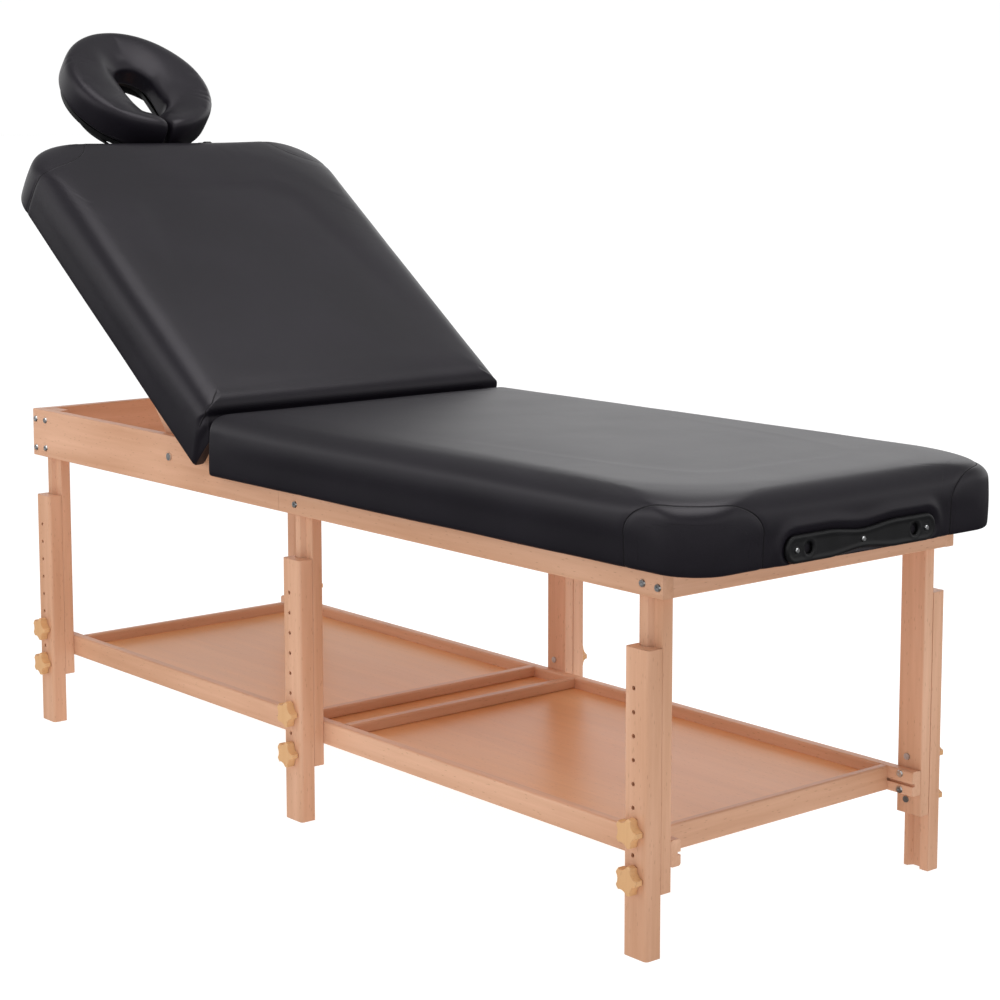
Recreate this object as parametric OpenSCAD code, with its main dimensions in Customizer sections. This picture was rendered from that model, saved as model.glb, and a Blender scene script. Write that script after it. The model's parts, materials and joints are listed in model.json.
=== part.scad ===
// Wooden massage table: a box frame on six telescopic legs, two storage trays,
// a padded seat section, a hinged padded backrest with a folding prop, and a
// plug-in face-ring headrest. The origin is on the floor, under the middle of
// the whole table. +X points to the foot end, -Y to the front side, +Z up.

/* [Box frame] */
// Length of the frame along X
frame_len = 1830; // [1780:10:1860]
// Width over the outer faces of the side rails
frame_w = 642; // [636:1:644]
// Height of the rails' lower edge above the floor
rail_z = 540; // [530:1:560]
// Depth of the rails
rail_h = 94; // [88:1:100]
// Thickness of the rails
rail_t = 20; // [18:1:21]
// Where the side rails are joined, measured from the frame's middle
rail_seam = -46; // [-60:1:-40]

/* [Legs] */
// Distance between neighbouring leg stations
leg_pitch = 869; // [860:1:872]
// Width of the legs along the table
leg_w = 50; // [46:1:54]
// Thickness of the fixed upper legs
upper_t = 21; // [19:1:22]
// Height of the upper legs' lower ends above the floor
upper_z = 96; // [90:1:100]
// Thickness of the sliding lower legs
lower_t = 28; // [26:1:32]
// Length of the lower legs
lower_h = 463; // [455:1:470]
// Distance between neighbouring adjusting holes
hole_pitch = 35.6; // [34:0.1:36]
// Number of adjusting holes in each lower leg
hole_count = 9; // [9:1:9]
// Height of the lowest adjusting hole above the floor
hole_z = 119; // [118:1:121]
// Bolt line, measured from the middle of the leg's width
bolt_dx = -5; // [-6:1:-4]
// Running gap between an upper and a lower leg
leg_gap = 0.3; // [0.2:0.1:0.5]

/* [Star knobs] */
// Radius over the knob's lobes
knob_r = 23; // [20:1:24]
// Thickness of the knob
knob_t = 15; // [12:1:16]
// Number of lobes
knob_lobes = 5; // [5:1:6]
// Radius of the clamping bolts
bolt_r = 3; // [3:0.5:3.5]

/* [Trays] */
// Height of the tray boards' lower edge above the floor
tray_z = 132; // [130:1:134]
// Depth of the tray boards
tray_h = 41; // [38:1:42]
// Thickness of the tray boards
tray_t = 20; // [18:1:20]
// Outer face of the trays' far end boards, from the frame's middle
tray_end = 840; // [830:1:840]
// Length of the half-lap joint between the two trays' side boards
tray_lap = 40; // [34:1:44]
// Thickness of the tray floors
floor_t = 5; // [4:1:6]

/* [Upholstery] */
// Width over the cushions
pad_w = 694; // [690:1:696]
// Height of the cushions above the rails
pad_h = 71; // [68:1:75]
// How far the padded sides hang below the rails' top
skirt_h = 53; // [50:1:55]
// Corner radius of the cushions seen from above
pad_corner = 70; // [60:1:80]
// Foot end of the seat cushion, from the frame's middle
seat_foot = 1000; // [995:1:1005]
// Thickness of the plywood boards under the cushions
board_t = 12; // [10:1:13]
// Thickness of the boards' side aprons
apron_t = 12; // [11:1:12]
// Thickness of the boards' end aprons, which hold the headrest sockets
apron_end_t = 25; // [22:1:26]

/* [Backrest] */
// Hinge line of the backrest, from the frame's middle
hinge_x = -246; // [-250:1:-244]
// Length of the backrest from its hinge line
back_len = 837; // [820:1:840]
// Angle of the backrest above level
back_angle = 36; // [20:1:40]
// Pivot of the prop frame, from the frame's middle
prop_x = -400; // [-405:1:-395]
// Height of the prop's pivot above the floor
prop_z = 594.6; // [592:0.1:596]
// Length of the prop from its pivot to its bar
prop_len = 340; // [335:1:345]
// Prop angle for each degree of backrest angle
prop_ratio = 1.37; // [1.36:0.01:1.38]

/* [Headrest] */
// Distance between the two headrest rods
rod_span = 234; // [230:1:238]
// Radius of the headrest rods
rod_r = 6.3; // [6.2:0.1:6.3]
// Radius of the bores that the rods slide in
socket_r = 6.4; // [6.4:0.1:6.5]
// Depth of the headrest sockets
socket_len = 80; // [76:1:80]
// How far the socket bores lie below the rails' top
socket_drop = 31; // [30:1:32]
// Outer radius of the face ring
ring_r = 161; // [155:1:163]
// Thickness of the face ring's cushion
ring_t = 80; // [70:1:82]
// Half the width of the face hole
face_r = 42; // [36:1:46]
// Distance between the centres of the face hole's round ends
face_len = 66; // [50:1:70]
// Middle of the face ring, from the backrest's hinge line
ring_u = 1009; // [1006:1:1015]
// Tilt of the face ring against the backrest
ring_tilt = 3; // [0:1:4]

/* [Hidden] */
$fn = 48;
beech = [0.86, 0.68, 0.55];
ply = [0.86, 0.66, 0.46];
knob_wood = [0.88, 0.70, 0.48];
vinyl = [0.10, 0.10, 0.12];
plastic = [0.06, 0.06, 0.07];
steel = [0.75, 0.76, 0.78];

rail_top = rail_z + rail_h;
rail_out = frame_w / 2;
rail_in = rail_out - rail_t;
frame_end = frame_len / 2;
lower_y = rail_in + leg_gap;
upper_y = rail_in - upper_t;
lower_out = lower_y + lower_t;
stations = [-leg_pitch, 0, leg_pitch];

groove_open = 26;
groove_floor = 16;
groove_deep = 10;
tongue_slack = 1;

tray_y = upper_y - tray_t;
tray_top = tray_z + tray_h;
tray_side_end = leg_pitch + leg_w / 2 - 1;
lap_x = 2;
tray_cross_t = 16;
divider_x = 58;
floor_z = tray_z + 16.3;
groove_in = 6;

pad_half = pad_w / 2;
seat_head = hinge_x + 6;
apron_in = rail_out + 3;
apron_out = apron_in + apron_t;
apron_drop = skirt_h - 2;
end_pad = 30;
board_back = 8;
hinge_clear = 8;

back_foot = 33;
ring_thin = 10;
rim_h = 34;
rim_top_r = 140;
rim_low_r = 110;
rim_wall = 5;
rim_clear = 40;
socket_wall = 2.4;
ring_low = 12.3;
rack_deep = 27;
base_u = back_len + 43;
base_len = 26;
pivot_u = base_u + base_len / 2;
pivot_w = -8;
axle_r = 4;

screw_r = 3;
head_r = 6.3;
head_h = 2.4;
drill = 0.05;
past = 1;

hinge_places = [-210, 0, 210];
hinge_half = 35;
knuckle_r = 4;
hinge_pin_r = 2;
ear_r = 9;
lever_y = 133;
plate_t = 7;
plate_head = 1.6;

// The table's two ends, which place the origin under its middle
ring_angle = back_angle + ring_tilt;
head_reach = hinge_x - pivot_u * cos(back_angle) + pivot_w * sin(back_angle)
    - (ring_u - pivot_u + ring_r) * cos(ring_angle) + (ring_low - pivot_w) * sin(ring_angle);
mid_x = -(seat_foot + plate_t + plate_head + head_reach) / 2;

// ---- Helpers -------------------------------------------------------------

// Moves from the frame's middle to the part's origin
module place() {
    translate([mid_x, 0, 0]) children();
}

// A shape drawn for the rear side, turned to the side asked for: -1 front, 1 rear
module on_side(side) {
    place() mirror([0, side < 0 ? 1 : 0, 0]) children();
}

// Rectangle with round corners, its lower left corner at the origin
module soft_rect(w, h, r) {
    translate([r, 0]) square([w - 2 * r, h]);
    translate([0, r]) square([w, h - 2 * r]);
    for (x = [r, w - r], y = [r, h - r])
        translate([x, y]) circle(r, $fn = 24);
}

// Board along X with softened long edges, from x0 to x1
module board_x(x0, x1, y, w, z, h, r = 2.5) {
    translate([x0, y, z]) rotate([90, 0, 90])
        linear_extrude(x1 - x0) soft_rect(w, h, r);
}

// Board along Y with softened long edges, centred on the table's middle plane
module board_y(x, w, half, z, h, r = 2.5) {
    translate([x + w, -half, z]) rotate([90, 0, 180])
        linear_extrude(2 * half) soft_rect(w, h, r);
}

// Hole or rod along Y, starting at y
module rod_y(x, y, z, r, l) {
    translate([x, y, z]) rotate([-90, 0, 0]) cylinder(r = r, h = l);
}

// Domed screw head on a rear outer face at y, with its shank running inward
module screw_in(x, y, z, l) {
    rod_y(x, y - l, z, screw_r, l + 0.5);
    translate([x, y, z]) rotate([-90, 0, 0]) difference() {
        cylinder(r1 = head_r, r2 = head_r - 1.2, h = head_h);
        translate([0, 0, head_h - 1.2]) cylinder(r = 2.2, h = 2, $fn = 6);
    }
}

// The backrest's own axes: u up along the board, w out of its lower face
module on_back() {
    place() translate([hinge_x, 0, rail_top]) rotate([0, back_angle, 0])
        mirror([1, 0, 0]) children();
}

// The face ring's own axes, on the pivot of the headrest
module on_ring() {
    on_back() translate([pivot_u, 0, pivot_w]) rotate([0, -ring_tilt, 0])
        children();
}

// ---- Box frame -----------------------------------------------------------

// Screws through the side rails: each is [x, z] on the rail's outer face
function rail_screws() = [
    for (e = [-1, 1], z = [16, 74]) [e * (frame_end - 11), rail_z + z],
    for (x = stations, z = [18, 74]) [x + 3, rail_z + z]
];

module side_rail(side, x0, x1) {
    color(beech) on_side(side) difference() {
        board_x(x0, x1, rail_in, rail_t, rail_z, rail_h, 2);
        for (s = rail_screws())
            if (s[0] > x0 && s[0] < x1)
                rod_y(s[0], rail_in - past, s[1], screw_r + drill, rail_t + 2 * past);
        if (prop_x > x0 && prop_x < x1)
            rod_y(prop_x, rail_in - past, prop_z, 4 + drill, rail_t + 2 * past);
    }
}

module end_rail(dir) {
    x = dir > 0 ? frame_end - rail_t : -frame_end;
    color(beech) place() difference() {
        board_y(x, rail_t, rail_in, rail_z, rail_h, 2);
        for (side = [-1, 1], z = [16, 74])
            rod_y(dir * (frame_end - 11), side * rail_in - 40, rail_z + z,
                screw_r + drill, 80);
    }
}

// Cross rail under the hinge line
module hinge_rail() {
    color(beech) place()
        board_y(hinge_x + hinge_clear, rail_t, rail_in, rail_z + 20, rail_h - 22, 2);
}

// Blocks behind the joints of the side rails
module rail_splices() {
    for (side = [-1, 1]) color(beech) on_side(side)
        board_x(rail_seam - 90, -leg_w / 2 - 1, rail_in - 20, 20, rail_z + 8,
            rail_h - 16, 2);
}

module frame_screws() {
    color(steel) for (side = [-1, 1]) on_side(side) {
        for (s = rail_screws())
            screw_in(s[0], rail_out, s[1], rail_t + upper_t - 3);
        for (x = [-1, 1], z = [7.4, 33.7])
            translate([0, 2 * tray_y, 0]) mirror([0, 1, 0])
                screw_in(x * (tray_side_end - 27), tray_y, tray_z + z, tray_t + 12);
        prop_bolt();
    }
    color(steel) place() for (y = [-143, 0, 143])
        plate_screw([seat_foot + plate_t, y, rail_top - socket_drop]);
}

// Pivot bolt of the prop frame, with its head outside the rail
module prop_bolt() {
    rod_y(prop_x, rail_in - 26, prop_z, 4, rail_t + 26);
    rod_y(prop_x, rail_out, prop_z, 7, 3);
    rod_y(prop_x, rail_in - 29, prop_z, 7, 3);
}

// ---- Legs ----------------------------------------------------------------

// Section of the tongue or groove between the leg halves, growing from y = 0
module tongue_section(open_w, floor_w, deep) {
    polygon([
        [bolt_dx - open_w / 2, -past], [bolt_dx + open_w / 2, -past],
        [bolt_dx + open_w / 2, 0], [bolt_dx + floor_w / 2, deep],
        [bolt_dx - floor_w / 2, deep], [bolt_dx - open_w / 2, 0]
    ]);
}

// Fixed upper leg at x, against the inner face of the side rail
module upper_leg(x) {
    difference() {
        union() {
            translate([x - leg_w / 2, upper_y, upper_z])
                linear_extrude(rail_top - upper_z) soft_rect(leg_w, upper_t, 2);
            translate([x, rail_in, upper_z]) linear_extrude(rail_z - upper_z - 2)
                tongue_section(groove_open - 2 * tongue_slack,
                    groove_floor - 2 * tongue_slack, groove_deep - 2 * tongue_slack);
        }
        for (i = [0, 2])
            rod_y(x + bolt_dx, upper_y - past, hole_z + i * hole_pitch,
                bolt_r + drill, upper_t + groove_deep + 2 * past);
        for (z = [18, 74])
            rod_y(x + 3, upper_y - past, rail_z + z, screw_r + drill, upper_t + 2 * past);
        if (x != 0) for (z = [7.4, 33.7])
            rod_y(sign(x) * (tray_side_end - 27), upper_y - past, tray_z + z,
                screw_r + drill, upper_t + groove_deep + 2 * past);
    }
}

module upper_legs(side) {
    color(beech) on_side(side) for (x = stations) upper_leg(x);
}

// Sliding lower leg at x, with its row of adjusting holes
module lower_leg(x, side) {
    color(beech) on_side(side) difference() {
        translate([x, lower_y, 0]) linear_extrude(lower_h) difference() {
            union() {
                translate([-leg_w / 2, 0]) square([leg_w, lower_t / 2]);
                translate([-leg_w / 2, 0]) soft_rect(leg_w, lower_t, 6);
            }
            tongue_section(groove_open, groove_floor, groove_deep);
        }
        for (i = [0 : hole_count - 1])
            rod_y(x + bolt_dx, lower_y - past, hole_z + i * hole_pitch,
                bolt_r + 0.4, lower_t + 2 * past);
    }
}

// Bolts that the knobs tighten, with square heads inside the upper legs
module clamp_bolts() {
    color(steel) for (side = [-1, 1], x = stations, i = [0, 2])
        on_side(side) {
            z = hole_z + i * hole_pitch;
            rod_y(x + bolt_dx, upper_y, z, bolt_r, lower_out + knob_t - 3 - upper_y);
            rod_y(x + bolt_dx, upper_y - 2.2, z, 5.5, 2.2);
        }
}

// Star knob at x with its axis at height z, against the lower leg
module knob(x, side, i) {
    color(knob_wood) on_side(side)
        translate([x + bolt_dx, lower_out + leg_gap, hole_z + i * hole_pitch])
            rotate([-90, 0, 0]) difference() {
                intersection() {
                    linear_extrude(knob_t) knob_section();
                    rotate_extrude() knob_rim();
                }
                translate([0, 0, -past]) cylinder(r = bolt_r + drill, h = knob_t - 2);
            }
}

// Star outline of the knob: a disc with a scallop between each two lobes
module knob_section() {
    difference() {
        circle(knob_r);
        for (i = [0 : knob_lobes - 1])
            rotate(i * 360 / knob_lobes + 180 / knob_lobes)
                translate([knob_r + 7, 0]) circle(14);
    }
}

// Half section of the knob's rounded rim
module knob_rim() {
    r = 3;
    square([knob_r - r, knob_t]);
    translate([0, r]) square([knob_r, knob_t - 2 * r]);
    for (y = [r, knob_t - r]) translate([knob_r - r, y]) circle(r, $fn = 24);
}

// ---- Trays ---------------------------------------------------------------

// Slot for the tray floor, cut along the inner face of a rear side board
module floor_slot() {
    translate([-frame_end, tray_y - past, floor_z])
        cube([frame_len, groove_in + past, floor_t]);
}

// Side board of one tray; the two trays lap over each other at the middle leg
module tray_side(dir) {
    difference() {
        board_x(dir > 0 ? lap_x : -tray_side_end, dir > 0 ? tray_side_end : lap_x + tray_lap,
            tray_y, tray_t, tray_z, tray_h, 4);
        floor_slot();
        translate([lap_x - 0.2, tray_y + (dir > 0 ? tray_t / 2 : -past), tray_z - past])
            cube([tray_lap + (dir > 0 ? 0.2 : 1), tray_t / 2 + (dir > 0 ? past : past + 0.2),
                tray_h + 2 * past]);
        for (z = [7.4, 33.7])
            rod_y(dir * (tray_side_end - 27), tray_y - past, tray_z + z,
                screw_r + drill, tray_t + 2 * past);
    }
}

module tray_sides(dir) {
    color(beech) for (side = [-1, 1]) on_side(side) tray_side(dir);
}

// Far end board, slotted for the floor, and the strip that ends the tray's hollow
module tray_ends(dir) {
    color(beech) place() {
        x = dir > 0 ? tray_end - tray_cross_t : -tray_end;
        difference() {
            board_y(x, tray_cross_t, tray_y, tray_z, tray_h, 4);
            translate([dir > 0 ? x - past : x + tray_cross_t - groove_in, -tray_y - past, floor_z])
                cube([groove_in + past, 2 * tray_y + 2 * past, floor_t]);
        }
        board_y(dir > 0 ? divider_x : -divider_x, tray_cross_t + 2, tray_y,
            floor_z + floor_t, tray_top - floor_z - floor_t, 3);
    }
}

module tray_floor(dir) {
    x0 = dir > 0 ? lap_x + 0.2 : -tray_end + tray_cross_t - groove_in;
    x1 = dir > 0 ? tray_end - tray_cross_t + groove_in : lap_x;
    half = tray_y + groove_in;
    color(ply) place() translate([x0, -half, floor_z]) cube([x1 - x0, 2 * half, floor_t]);
}

// ---- Upholstered lids ----------------------------------------------------

// Plan of a lid in its own u axis: round corners at the far end only
module lid_plan(u0, u1, half, r) {
    translate([u0, -half]) square([u1 - u0 - r, 2 * half]);
    translate([u0, -half + r]) square([u1 - u0, 2 * half - 2 * r]);
    for (y = [-half + r, half - r]) translate([u1 - r, y]) circle(r);
}

// Board under a cushion, lying on its lower face at height 0
module lid_board(u0, u1) {
    linear_extrude(board_t) lid_plan(u0, u1, apron_out, pad_corner - 10);
}

// Side and end aprons below a board
module lid_aprons(u0, u1) {
    for (s = [-1, 1]) translate([u0, s > 0 ? apron_in : -apron_out, -apron_drop])
        cube([u1 - end_pad - apron_end_t - u0, apron_t, apron_drop]);
    difference() {
        translate([u1 - end_pad - apron_end_t, -apron_in + 14, -apron_drop])
            cube([apron_end_t, 2 * apron_in - 28, apron_drop]);
        for (s = [-1, 1]) socket_hole(u1, s, socket_r + socket_wall + 0.1);
    }
}

// Round space for a headrest socket that ends at u1
module socket_hole(u1, s, r) {
    translate([u1 - socket_len - past, s * rod_span / 2, -socket_drop])
        rotate([0, 90, 0]) cylinder(r = r, h = socket_len + 2 * past);
}

// Lining tubes for the headrest rods, ending at u1
module lid_sockets(u1) {
    for (s = [-1, 1]) translate([u1 - socket_len, s * rod_span / 2, -socket_drop])
        rotate([0, 90, 0]) difference() {
            cylinder(r = socket_r + socket_wall, h = socket_len);
            translate([0, 0, -past]) cylinder(r = socket_r, h = socket_len + 2 * past);
        }
}

// Space under and inside a cushion: its board, aprons, sockets and the rails
module lid_hollow(u0, u1) {
    translate([u0, 0, -skirt_h - past]) {
        translate([-100, -apron_in, 0])
            cube([u1 - end_pad - apron_end_t - u0 + 100, 2 * apron_in, skirt_h + past]);
        translate([-100, -apron_in, 0])
            cube([100, 2 * apron_in, skirt_h + past + knuckle_r + 2]);
        translate([0, -apron_out - 0.2, 0])
            cube([u1 - end_pad - apron_end_t - u0, 2 * apron_out + 0.4, skirt_h + past]);
    }
    translate([u1 - end_pad - apron_end_t - 0.2, -apron_in + 13.8, -skirt_h - past])
        cube([apron_end_t + 0.4, 2 * apron_in - 27.6, skirt_h + past]);
    translate([0, 0, -0.2]) linear_extrude(board_t + 0.4)
        lid_plan(u0 - 0.2, u1 - end_pad + 5.2, apron_out + 0.2, pad_corner - 10);
    for (s = [-1, 1]) socket_hole(u1, s, socket_r + socket_wall + 0.1);
}

// Side outline of the seat cushion, with its u axis from the hinge line to the foot
module seat_side() {
    r = 45;
    u0 = seat_head - hinge_x;
    u1 = seat_foot - hinge_x;
    translate([u0, -skirt_h]) square([u1 - u0, skirt_h + pad_h - r]);
    translate([u0 + r, pad_h - r]) square([u1 - u0 - 2 * r, r]);
    for (u = [u0 + r, u1 - r]) translate([u, pad_h - r]) circle(r);
}

// Side outline of the back cushion, relieved where it rolls past the seat
module back_side() {
    r = 26;
    polygon([[-3, -skirt_h + 12], [9, -skirt_h], [back_len, -skirt_h],
        [back_len, pad_h - 40], [back_len - 40, pad_h - 40], [back_len - 40, pad_h],
        [back_foot + r, pad_h], [back_foot + r, pad_h - r], [back_foot, pad_h - r],
        [back_foot - 5, 24], [-3, 4]]);
    translate([9, -skirt_h + 12]) circle(12);
    translate([back_foot + r, pad_h - r]) circle(r);
    translate([back_len - 40, pad_h - 40]) circle(40);
}

// Cross outline shared by both cushions
module pad_cross() {
    r = 34;
    translate([-pad_half, -skirt_h]) square([pad_w, skirt_h + pad_h - r]);
    translate([-pad_half + r, 0]) square([pad_w - 2 * r, pad_h]);
    for (s = [-1, 1]) translate([s * (pad_half - r), pad_h - r]) circle(r);
}

// Cushion whose far end is at u1: side outline, cross outline and plan together
module lid_cushion(u0, u1) {
    difference() {
        intersection() {
            translate([0, pad_half, 0]) rotate([90, 0, 0]) linear_extrude(pad_w) children();
            translate([u0 - 50, 0, 0]) rotate([90, 0, 90])
                linear_extrude(u1 - u0 + 100) pad_cross();
            translate([0, 0, -skirt_h]) linear_extrude(skirt_h + pad_h)
                lid_plan(u0 - 50, u1, pad_half, pad_corner);
        }
        lid_hollow(u0 + board_back, u1);
    }
}

// The seat's axes: u from the hinge line to the foot end
module on_seat() {
    place() translate([hinge_x, 0, rail_top]) children();
}

module seat_board() {
    color(ply) on_seat() lid_board(board_back + 6, seat_foot - hinge_x - end_pad + 5);
}

module seat_aprons() {
    color(beech) on_seat() lid_aprons(board_back + 6, seat_foot - hinge_x);
}

module seat_cushion() {
    color(vinyl) on_seat() lid_cushion(6, seat_foot - hinge_x) seat_side();
}

module seat_sockets() {
    color(plastic) on_seat() lid_sockets(seat_foot - hinge_x);
}

// Plastic plate around the two socket mouths, lying on an end face at u1
module socket_plate(u1) {
    translate([u1 + 0.2, 0, -socket_drop]) rotate([90, 0, 90]) linear_extrude(plate_t - 0.2)
        difference() {
            union() {
                for (s = [-1, 1]) translate([s * 144, 1]) circle(21);
                difference() {
                    translate([-144, -20]) square([288, 42]);
                    for (s = [-1, 1]) translate([0, 1 + s * 212]) circle(197.5, $fn = 96);
                }
            }
            for (s = [-1, 1]) translate([s * rod_span / 2, 0]) circle(socket_r + socket_wall + 0.3);
            for (y = [-143, 0, 143]) translate([y, 0]) circle(2.1);
        }
}

module seat_socket_plate() {
    color(plastic) on_seat() socket_plate(seat_foot - hinge_x);
}

// Small round-headed screw at a point on an end plate, its shank running back along X
module plate_screw(p) {
    translate(p) rotate([0, 90, 0]) cylinder(r1 = 4, r2 = 3, h = plate_head);
    translate(p - [6, 0, 0]) rotate([0, 90, 0]) cylinder(r = 2, h = 6.5);
}

// ---- Backrest ------------------------------------------------------------

module back_board() {
    color(ply) on_back() lid_board(board_back, back_len - end_pad + 5);
}

module back_aprons() {
    color(beech) on_back() lid_aprons(board_back, back_len);
}

module back_cushion() {
    color(vinyl) on_back() lid_cushion(0, back_len) back_side();
}

module back_sockets() {
    color(plastic) on_back() lid_sockets(back_len);
}

module back_socket_plate() {
    color(plastic) on_back() socket_plate(back_len);
}

module back_screws() {
    color(steel) on_back() for (y = [-143, 0, 143])
        plate_screw([back_len + plate_t, y, -socket_drop]);
}

// Notched strips under the backrest's board, where the prop's bar catches
module back_racks() {
    u0 = 372;
    pitch = 26;
    color(beech) on_back() for (y = [-190, 190])
        translate([0, y + 10, 0]) rotate([90, 0, 0]) linear_extrude(20) difference() {
            translate([u0, -rack_deep]) square([6 * pitch, rack_deep]);
            for (i = [0 : 4]) translate([u0 + 17 + i * pitch, -rack_deep - past])
                polygon([[0, 0], [13, 0], [4, 12], [0, 12]]);
        }
}

// ---- Hinges --------------------------------------------------------------

// Leaf on one side of the hinge line; its knuckles fill the spans given
module hinge_leaf(y, spans) {
    difference() {
        union() {
            translate([knuckle_r + 0.5, y - hinge_half, -2])
                cube([26, 2 * hinge_half, 2]);
            for (s = spans) {
                rod_y(0, y + s[0], 0, knuckle_r, s[1] - s[0]);
                translate([0, y + s[0], -2]) cube([knuckle_r + 1, s[1] - s[0], 2]);
            }
        }
        rod_y(0, y - hinge_half - past, 0, hinge_pin_r + drill, 2 * hinge_half + 2 * past);
    }
}

module seat_hinge_leaves() {
    color(steel) on_seat() for (y = hinge_places)
        hinge_leaf(y, [[-hinge_half, -12], [12, hinge_half]]);
}

module back_hinge_leaves() {
    color(steel) on_back() for (y = hinge_places)
        hinge_leaf(y, [[-11.5, 11.5]]);
}

module hinge_pins() {
    color(steel) on_seat() for (y = hinge_places)
        rod_y(0, y - hinge_half, 0, hinge_pin_r, 2 * hinge_half);
}

// ---- Prop ----------------------------------------------------------------

// The prop's axes: r along its arms from the pivot to the bar
module on_prop() {
    place() translate([prop_x, 0, prop_z]) rotate([0, back_angle * prop_ratio, 0])
        mirror([1, 0, 0]) children();
}

module prop_arm() {
    difference() {
        union() {
            translate([0, rail_in - 23, -14]) cube([prop_len, 18, 28]);
            for (u = [0, prop_len]) rod_y(u, rail_in - 23, 0, 14, 18);
        }
        rod_y(0, rail_in - 23 - past, 0, 4 + drill, 18 + 2 * past);
        rod_y(prop_len, rail_in - 23 - past, 0, 8 + drill, 18 + 2 * past);
    }
}

module prop_arms() {
    color(beech) on_prop() for (m = [0, 1]) mirror([0, m, 0]) prop_arm();
}

module prop_bar() {
    half = rail_in - 5;
    color(steel) on_prop() rod_y(prop_len, -half, 0, 8, 2 * half);
}

// ---- Headrest ------------------------------------------------------------

module headrest_rods() {
    u0 = back_len - socket_len + 4;
    color(steel) on_back() for (s = [-1, 1])
        translate([u0, s * rod_span / 2, -socket_drop])
            rotate([0, 90, 0]) cylinder(r = rod_r, h = base_u + base_len - 6 - u0);
}

// Bar across the rods, with three ears for the tilt axle
module headrest_base() {
    half = rod_span / 2 + 11;
    color(plastic) on_back() difference() {
        union() {
            translate([base_u, -half, -socket_drop - 10]) cube([base_len, 2 * half, 20]);
            for (y = [-66, 58, half - 9]) {
                translate([pivot_u - ear_r, y, -socket_drop])
                    cube([2 * ear_r, 8, socket_drop + pivot_w]);
                rod_y(pivot_u, y, pivot_w, ear_r, 8);
            }
        }
        rod_y(pivot_u, -90, pivot_w, axle_r + drill, 260);
        for (s = [-1, 1]) translate([base_u - past, s * rod_span / 2, -socket_drop])
            rotate([0, 90, 0]) cylinder(r = rod_r + drill, h = base_len - 5 + past);
    }
}

module headrest_axle() {
    color(steel) on_back() {
        rod_y(pivot_u, -66.5, pivot_w, axle_r, lever_y + 12 + 66.5);
        rod_y(pivot_u, -70.5, pivot_w, 8, 4);
    }
}

// Face-ring outline around its middle, open in a slit towards the backrest
module ring_plan(r, inner, slit) {
    difference() {
        circle(r, $fn = 96);
        for (u = [-face_len / 2, face_len / 2]) translate([u, 0]) circle(inner);
        translate([-face_len / 2, -inner]) square([face_len, 2 * inner]);
        translate([-r - past, -slit / 2]) square([r, slit]);
    }
}

// Tapered rim that hangs from the platform's board, cut back round the tilt axle
module platform_rim(low) {
    difference() {
        translate([ring_u - pivot_u, 0, low - rim_h]) difference() {
            cylinder(r1 = rim_low_r, r2 = rim_top_r, h = rim_h + 1, $fn = 96);
            translate([0, 0, -past])
                cylinder(r1 = rim_low_r - rim_wall, r2 = rim_top_r - rim_wall, h = rim_h + 1 + 2 * past, $fn = 96);
        }
        rod_y(0, -ring_r, 0, rim_clear, 2 * ring_r);
    }
}

// Crescent platform under the ring cushion, with ears on the tilt axle
module headrest_platform() {
    low = ring_low - pivot_w - ring_thin;
    color(plastic) on_ring() difference() {
        union() {
            platform_rim(low);
            translate([ring_u - pivot_u, 0, low])
                linear_extrude(ring_thin - 0.3) ring_plan(ring_r - 12, face_r + 6, 40);
            for (s = [-1, 1]) {
                translate([-ear_r, s * 50 - 5, 0]) cube([2 * ear_r, 10, low + 1]);
                rod_y(0, s * 50 - 5, 0, ear_r, 10);
            }
        }
        rod_y(0, -90, 0, axle_r + drill, 180);
    }
}

module headrest_cushion() {
    color(vinyl) on_ring() translate([ring_u - pivot_u, 0, ring_low - pivot_w])
        linear_extrude(ring_t) ring_plan(ring_r, face_r, 12);
}

// Cam lever that locks the tilt, hanging from the end of the axle
module headrest_lever() {
    color(plastic) on_back() difference() {
        union() {
            rod_y(pivot_u, lever_y, pivot_w, 11, 14);
            translate([pivot_u - 5, lever_y + 2, pivot_w - 58]) cube([10, 10, 58]);
            rod_y(pivot_u, lever_y + 2, pivot_w - 58, 5, 10);
        }
        rod_y(pivot_u, lever_y - past, pivot_w, axle_r + drill, 12.5 + past);
    }
}

// ---- Nodes ---------------------------------------------------------------

side_rail(-1, -frame_end, rail_seam);  // side_rail_head_front
side_rail(1, -frame_end, rail_seam);  // side_rail_head_rear
side_rail(-1, rail_seam + 0.3, frame_end);  // side_rail_foot_front
side_rail(1, rail_seam + 0.3, frame_end);  // side_rail_foot_rear
end_rail(-1);  // end_rail_head
end_rail(1);  // end_rail_foot
hinge_rail();
rail_splices();
frame_screws();
clamp_bolts();
upper_legs(-1);  // upper_legs_front
upper_legs(1);  // upper_legs_rear
tray_sides(-1);  // tray_sides_head
tray_sides(1);  // tray_sides_foot
tray_ends(-1);  // tray_ends_head
tray_ends(1);  // tray_ends_foot
tray_floor(-1);  // tray_floor_head
tray_floor(1);  // tray_floor_foot
seat_board();
seat_aprons();
seat_cushion();
seat_sockets();
seat_socket_plate();
seat_hinge_leaves();
hinge_pins();
back_board();
back_aprons();
back_cushion();
back_sockets();
back_socket_plate();
back_screws();
back_racks();
back_hinge_leaves();
prop_arms();
prop_bar();
headrest_rods();
headrest_base();
headrest_axle();
headrest_platform();
headrest_cushion();
headrest_lever();
lower_leg(-leg_pitch, -1);  // lower_leg_head_front
lower_leg(-leg_pitch, 1);  // lower_leg_head_rear
lower_leg(0, -1);  // lower_leg_middle_front
lower_leg(0, 1);  // lower_leg_middle_rear
lower_leg(leg_pitch, -1);  // lower_leg_foot_front
lower_leg(leg_pitch, 1);  // lower_leg_foot_rear
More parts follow.
